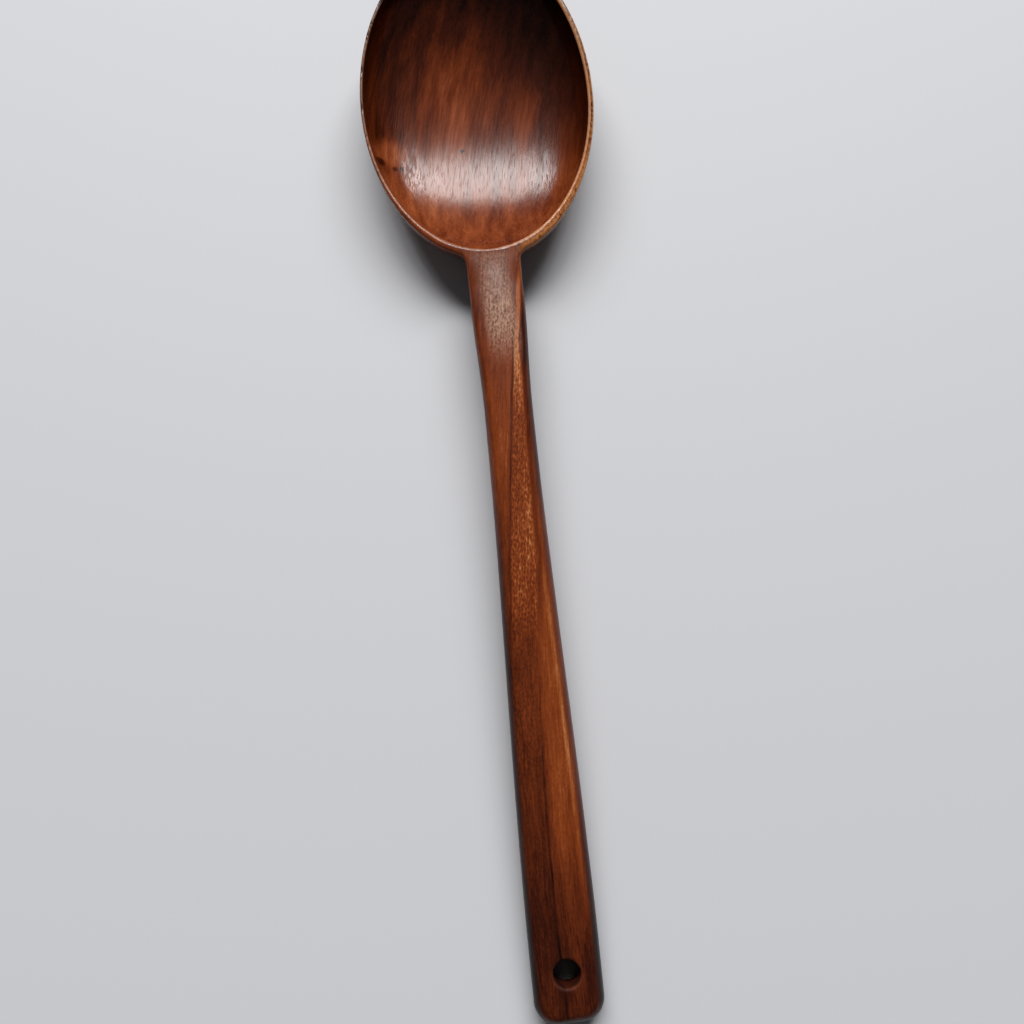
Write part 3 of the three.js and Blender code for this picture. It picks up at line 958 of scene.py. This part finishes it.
def oil_masks(tree, grain, worn_and_highlit):
    """Where the oil is thicker or thinner than elsewhere."""
    x, y = grain["x"], grain["y"]
    bowl = tree.rise(y, *HOLLOW_RISE)
    outside = bowl * grain["shell"]
    strokes = (bowl - outside) * tree.rise(abs(x - STROKES_MIDDLE), *STROKES_ACROSS)
    return {
        "worn_and_highlit": worn_and_highlit,
        "bowl": bowl,
        "outside": outside,
        "neck": tree.rise(y, *NECK_OIL_RISE),
        "pores": tree.rise(grain["dashes"], *PORES),
        "strokes": strokes * tree.rise(grain["dashes"], *STROKES),
        "bore": 1 - tree.rise(tree.hypotenuse(x, y - HOLE_PLACE), *BORE_EDGE),
    }


def changed(value, changes, masks):
    """A value plus the change that each mask brings."""
    for name, change in changes.items():
        value = value + masks[name] * change
    return value


def oil_film(grain, masks):
    """The weight of the oil's coat."""
    outside = masks["outside"]
    fibres = OIL_FIBRES + outside * (OIL_FIBRES_OUTSIDE - OIL_FIBRES)
    film = changed(OIL, OIL_CHANGES, masks) + swing(grain, "fibres") * fibres
    film = film * (1 - masks["bore"]) * (1 - outside * OIL_LOST_OUTSIDE)
    return film * (1 - grain["side"] * (1 - masks["bowl"]) * OIL_LOST_ON_SIDES)


def wood_roughness(grain, masks):
    return changed(ROUGHNESS, ROUGHNESS_CHANGES, masks) + swing(grain, "fibres") * ROUGH_FIBRES


print(f"an oil film of about {OIL} on wood with a roughness of {ROUGHNESS}")

# %% [markdown]
# ## The finished wood
#
# One shader takes it all: the colour, the roughness, the oil as a coat, and a very low relief, in which
# fibres stand up and pores sink in by less than a tenth of a millimetre. That relief could be real
# geometry, but it would need millions of faces, and a bump catches the light in the same way.

# %% Oiled heartwood
RELIEF_FIBRES = 0.5
RELIEF_MOTTLE = 0.15
RELIEF_PORES = 0.2
RELIEF_STRENGTH = 0.4
RELIEF_HEIGHT = 0.00008
WOOD_SPECULAR = 0.15
OIL_ROUGHNESS = 0.145


def oiled_heartwood():
    """Dark red-brown hardwood, sanded and oiled."""
    material = bpy.data.materials.new("oiled_heartwood")
    material.use_nodes = True
    material.node_tree.nodes.clear()
    tree = Tree(material.node_tree)
    grain = grain_of(tree)
    worn_and_highlit = rim_wear_and_highlight(tree, grain)
    masks = oil_masks(tree, grain, worn_and_highlit)
    colour = worn_and_highlit_colour(tree, grain, plank_colour(tree, grain), worn_and_highlit)
    relief = grain["fibres"] * RELIEF_FIBRES + grain["mottle"] * RELIEF_MOTTLE
    relief = relief - masks["pores"] * RELIEF_PORES
    relief_sockets = {"Height": relief, "Strength": RELIEF_STRENGTH, "Distance": RELIEF_HEIGHT}
    surface = tree.add(
        "ShaderNodeBsdfPrincipled",
        sockets={
            "Base Color": painted_neck_sheen(tree, grain, colour, worn_and_highlit),
            "Roughness": wood_roughness(grain, masks),
            "Specular IOR Level": WOOD_SPECULAR,
            "Coat Weight": oil_film(grain, masks),
            "Coat Roughness": OIL_ROUGHNESS,
            "Normal": tree.add("ShaderNodeBump", sockets=relief_sockets),
        },
    )
    tree.add("ShaderNodeOutputMaterial", sockets={"Surface": surface})
    return material


heartwood = oiled_heartwood()
print(f"the wood is a shader of {len(heartwood.node_tree.nodes)} nodes")

# %% [markdown]
# ## Carving the spoon
#
# With the tree and the wood ready, the spoon is one call. The result is a plain mesh that rides on the
# model's only body and stands for the measured solid.

# %% Make the spoon
spoon = carve("spoon_carving", heartwood)
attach(spoon, "root")
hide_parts("carved_spoon")
triangles = sum(len(face.vertices) - 2 for face in spoon.data.polygons)
print(f"{spoon.name}: {len(spoon.data.vertices)} points, {triangles} triangles")

# %% [markdown]
# ## A pale table
#
# The spoon lies on a matt, pale table. One square is enough, but its edge would draw a line behind the
# spoon, so it fades into the backdrop with the distance. Close under the wood, and down in the hole,
# hardly any light gets in. Ambient occlusion finds those places, and the table is darker there.

# %% The table
TABLE_COLOUR = (0.575, 0.585, 0.615, 1.0)
TABLE_ROUGHNESS = 0.6
TABLE_REACH = 1.3
TABLE_FADE = (0.45, 1.15)
CONTACT_COLOUR = (0.04, 0.035, 0.035, 1.0)
CONTACT_REACH = 0.014
CONTACT = (0.08, 0.34)
CONTACT_SAMPLES = 8


def pale_table_top():
    """A matt surface that is dark where things touch it and fades out with the distance."""
    material = bpy.data.materials.new("pale_table_top")
    material.use_nodes = True
    material.node_tree.nodes.clear()
    tree = Tree(material.node_tree)
    settings = {"samples": CONTACT_SAMPLES}
    openness = tree.add("ShaderNodeAmbientOcclusion", settings, {"Distance": CONTACT_REACH}, output="AO")
    place = tree.add("ShaderNodeTexCoord", output="Object")
    x = tree.add("ShaderNodeSeparateXYZ", sockets={"Vector": place})
    sockets = {
        "Base Color": mix_colours(tree, tree.rise(openness, *CONTACT), CONTACT_COLOUR, TABLE_COLOUR),
        "Roughness": TABLE_ROUGHNESS,
        "Alpha": 1 - tree.rise(tree.hypotenuse(x, x.other("Y")), *TABLE_FADE),
    }
    surface = tree.add("ShaderNodeBsdfPrincipled", sockets=sockets)
    tree.add("ShaderNodeOutputMaterial", sockets={"Surface": surface})
    return material


def pale_table():
    """A plain square under the spoon."""
    mesh = bpy.data.meshes.new("table")
    corners = [(x * TABLE_REACH, y * TABLE_REACH, 0) for x, y in ((-1, -1), (1, -1), (1, 1), (-1, 1))]
    mesh.from_pydata(corners, [], [(0, 1, 2, 3)])
    mesh.materials.append(pale_table_top())
    holder = bpy.data.objects.new("table", mesh)
    bpy.context.scene.collection.objects.link(holder)
    return holder


table = pale_table()
print(f"a table that fades out {TABLE_FADE[1]} m from the spoon")

# %% [markdown]
# ## A bowed window
#
# The broad sheen in the near side of the bowl is the image of a window beyond the bowl's tip. A hollow
# bends the image of one flat lamp into a crescent, but this sheen is nearly straight. So the window is a
# bow of seven panes, and towards its ends they stand further away, taller and dimmer. A small pane above
# them gives the faint light over the sheen. The same panes light the whole spoon and make its soft
# shadow. The power of an area lamp is its radiance times its area times pi, so the panes are set by
# radiance, which is what the sheen shows.

# %% Panes of the window
BOWL_PLACE = Vector((0.0, 0.10, 0.01))
WINDOW_PANES = 7
WINDOW_OFFSET = 0.45
WINDOW_HALF_WIDTH = 2.95
WINDOW_HEIGHT = 4.0
WINDOW_LEAN = math.radians(37.6)
WINDOW_BOW = math.radians(10.8)
PANE_WIDTH = 1.0
PANE_HEIGHT = 1.15
PANE_GROWTH = 0.4
PANE_RADIANCE = 18.2
PANE_FADE = 0.38
TOP_PANE_PLACE = (0.12, 2.45, 4.0)
TOP_PANE_SIZE = (0.9, 0.36)
TOP_PANE_POWER = 7.0
DAYLIGHT = (1.0, 0.99, 0.98)


def soft_lamp(name, place, size, power):
    """A rectangular area lamp that faces the bowl."""
    lamp = bpy.data.lights.new(name, "AREA")
    lamp.shape = "RECTANGLE"
    lamp.size, lamp.size_y = size
    lamp.energy = power
    lamp.color = DAYLIGHT
    holder = bpy.data.objects.new(name, lamp)
    holder.location = place
    holder.rotation_euler = (BOWL_PLACE - Vector(place)).to_track_quat("-Z", "Y").to_euler()
    bpy.context.scene.collection.objects.link(holder)


for pane in range(WINDOW_PANES):
    side = 2 * pane / (WINDOW_PANES - 1) - 1
    away = WINDOW_HEIGHT * math.tan(WINDOW_LEAN + WINDOW_BOW * side**2)
    pane_place = BOWL_PLACE + Vector((WINDOW_OFFSET + WINDOW_HALF_WIDTH * side, away, WINDOW_HEIGHT))
    pane_height = PANE_HEIGHT * (1 + PANE_GROWTH * side**2)
    pane_power = PANE_RADIANCE * (1 - PANE_FADE * side**2) * math.pi * PANE_WIDTH * pane_height
    soft_lamp(f"window_pane_{pane}", pane_place, (PANE_WIDTH, pane_height), pane_power)
soft_lamp("window_top", TOP_PANE_PLACE, TOP_PANE_SIZE, TOP_PANE_POWER)
print(f"a window of {WINDOW_PANES} panes and one pane above it")

# %% [markdown]
# ## A dim room
#
# The rest of the room is dim, so that the dark wood keeps its depth. Only the camera sees a pale backdrop
# in its place, in the colour that the table fades into. Is Camera Ray tells the two apart. The spoon has
# neither metal nor glass that would have to mirror the backdrop.

# %% The room
ROOM_COLOUR = (0.96, 0.98, 1.0, 1.0)
ROOM_STRENGTH = 0.07
BACKDROP_COLOUR = (0.58, 0.59, 0.62, 1.0)

world = bpy.data.worlds.new("dim_room")
world.use_nodes = True
world.node_tree.nodes.clear()
room = Tree(world.node_tree)
room_light = room.add("ShaderNodeBackground", sockets={"Color": ROOM_COLOUR, "Strength": ROOM_STRENGTH})
backdrop = room.add("ShaderNodeBackground", sockets={"Color": BACKDROP_COLOUR, "Strength": 1.0})
seen = room.add("ShaderNodeLightPath", output="Is Camera Ray")
shown = room.add("ShaderNodeMixShader", sockets={0: seen, 1: room_light, 2: backdrop})
room.add("ShaderNodeOutputWorld", sockets={"Surface": shown})
bpy.context.scene.world = world
bpy.context.scene.view_settings.view_transform = "Standard"
print(f"a room with a light of {ROOM_STRENGTH} and a pale backdrop")

# %% [markdown]
# ## The camera
#
# The photograph looks almost straight down from above the handle, so the tip of the bowl runs out of the
# picture. The camera could be placed by eye, but the spoon's outline in the picture, together with its
# estimated size, fixes where it stood and how far it was tilted and turned.

# %% Camera above the handle
FOCAL_PIXELS = 1109.0
PICTURE_PIXELS = 1024.0
SENSOR_WIDTH = 36.0
NEAREST_SEEN = 0.01
CAMERA_PLACE = Vector((-7.12, -65.92, 341.8)) * MM
CAMERA_TILT = math.radians(8.5)
CAMERA_TURN = math.radians(5.82)

camera_data = bpy.data.cameras.new("camera")
camera_data.sensor_width = SENSOR_WIDTH
camera_data.lens = SENSOR_WIDTH * FOCAL_PIXELS / PICTURE_PIXELS
camera_data.clip_start = NEAREST_SEEN
camera = bpy.data.objects.new("camera", camera_data)
bpy.context.scene.collection.objects.link(camera)
straight_up = Vector((0, 0, 1))
picture_up = Vector((math.sin(CAMERA_TURN), math.cos(CAMERA_TURN), 0.0))
forward = picture_up * math.sin(CAMERA_TILT) - straight_up * math.cos(CAMERA_TILT)
upward = picture_up * math.cos(CAMERA_TILT) + straight_up * math.sin(CAMERA_TILT)
turned = Matrix((forward.cross(upward), upward, -forward)).transposed()
camera.matrix_world = Matrix.Translation(CAMERA_PLACE) @ turned.to_4x4()
bpy.context.scene.camera = camera
print(f"camera {CAMERA_PLACE.z / MM:.0f} mm above the table, lens {camera_data.lens:.1f} mm")

# %% The measured box
print(f"measured box {[round(v / MM, 2) for v in cad_high - cad_low]} mm")
